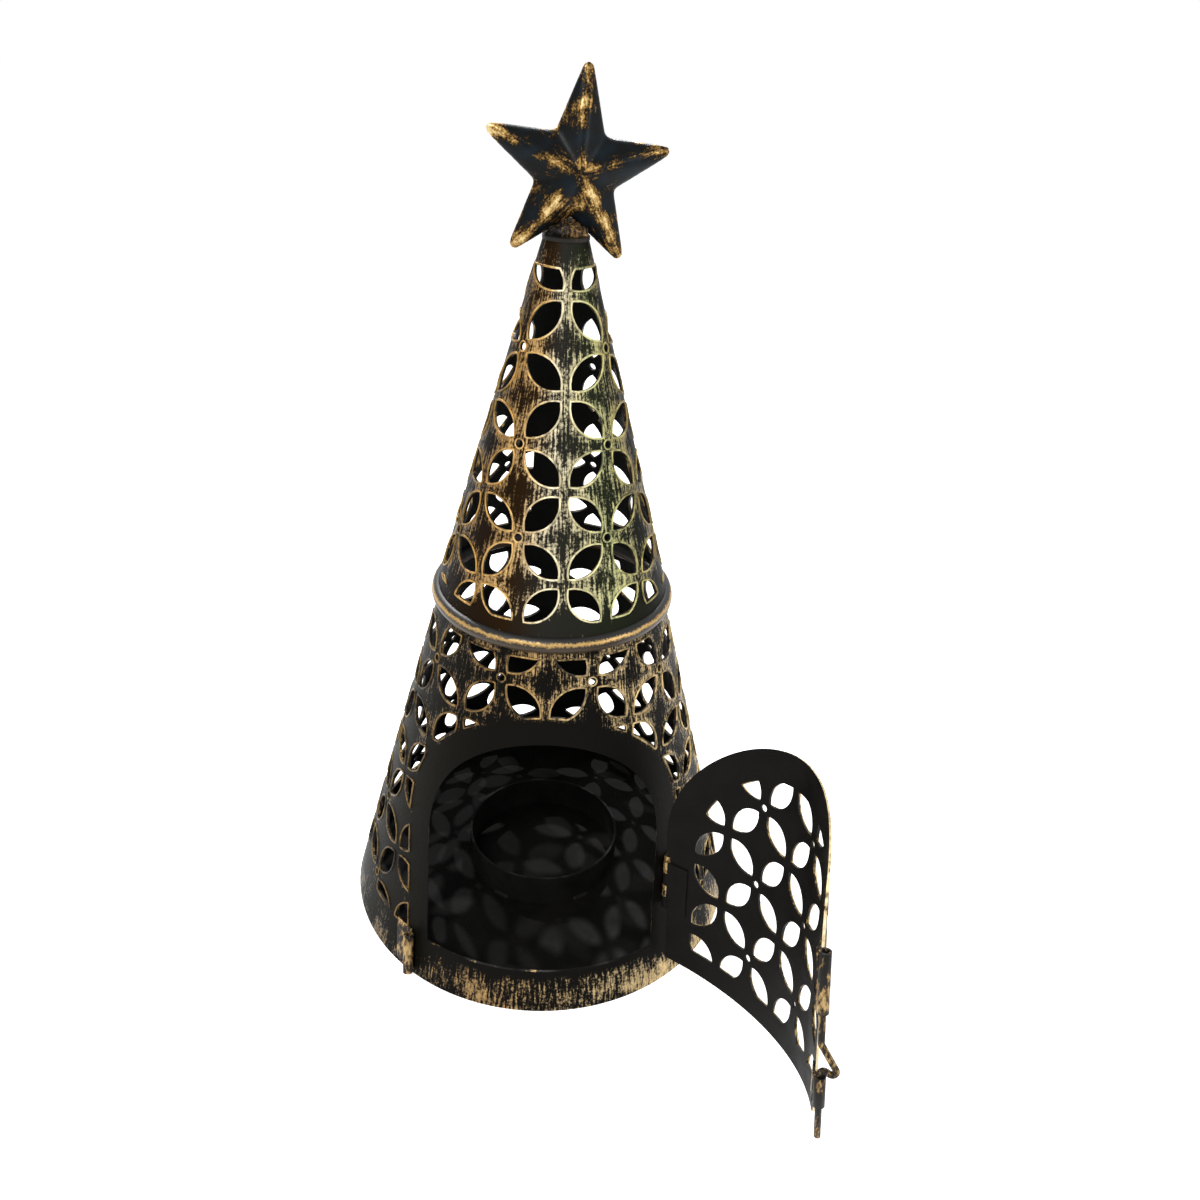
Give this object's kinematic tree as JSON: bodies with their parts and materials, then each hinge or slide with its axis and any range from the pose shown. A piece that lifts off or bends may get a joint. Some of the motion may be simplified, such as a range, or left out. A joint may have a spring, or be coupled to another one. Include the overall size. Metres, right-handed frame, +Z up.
{
  "type": "punched tin lantern",
  "caption": "Small cone-shaped tealight lantern of pierced sheet metal, with a star finial and an arched hinged door held by a wire bolt.",
  "frame": {"origin": "on the lantern's axis, at the level of the rim it stands on", "axes": "+Z up along the lantern's axis, the middle of the doorway faces -Y, +X to the hinge side of the doorway"},
  "size_m": [0.1106, 0.1487, 0.2048],
  "materials": {
    "shell_bronzed_black": "black paint dry-brushed with antique gold",
    "upper_shell_bronzed_black": "black paint dry-brushed with antique gold",
    "waist_ring_gilt": "black paint with the crest brushed gold",
    "inner_black": "satin black paint",
    "candle_ring_black": "satin black paint",
    "weld_black": "satin black paint over weld metal",
    "cap_black": "black paint with a brushed gold edge",
    "star_blue_black": "blue-black paint with gold brushed on the ridges",
    "hinge_black": "black paint with brushed gold knuckles",
    "door_black": "satin black paint, gold brushed outside",
    "latch_bronze": "black paint brushed with antique gold"
  },
  "bodies": {
    "lantern": {"lower_shell": "shell_bronzed_black", "upper_shell": "upper_shell_bronzed_black", "waist_ring": "waist_ring_gilt", "floor_plate": "inner_black", "floor_plate_welds": "weld_black", "candle_ring": "candle_ring_black", "candle_ring_welds": "weld_black", "top_cap": "cap_black", "star_stem": "weld_black", "star_weld": "weld_black", "star_front": "star_blue_black", "star_back": "star_blue_black", "hinge_body_leaf": "hinge_black", "hinge_pin": "hinge_black", "latch_keeper": "latch_bronze"},
    "door": {"door_panel": "door_black", "hinge_door_leaf": "hinge_black", "latch_upper_barrel": "latch_bronze", "latch_lower_barrel": "latch_bronze"},
    "bolt": {"latch_bolt": "latch_bronze"}
  },
  "joints": [
    {"name": "door_hinge", "type": "hinge", "parent": "lantern", "child": "door", "pos_m": [0.0312, -0.03381, 0.0263], "axis": [0, 0.2823, 0.9593], "range_deg": [-113.3, 36.7]},
    {"name": "bolt_slide", "type": "slide", "parent": "door", "child": "bolt", "axis": [-0.0649, 0.2548, 0.9648], "range_m": [0, 0.007]}
  ]
}
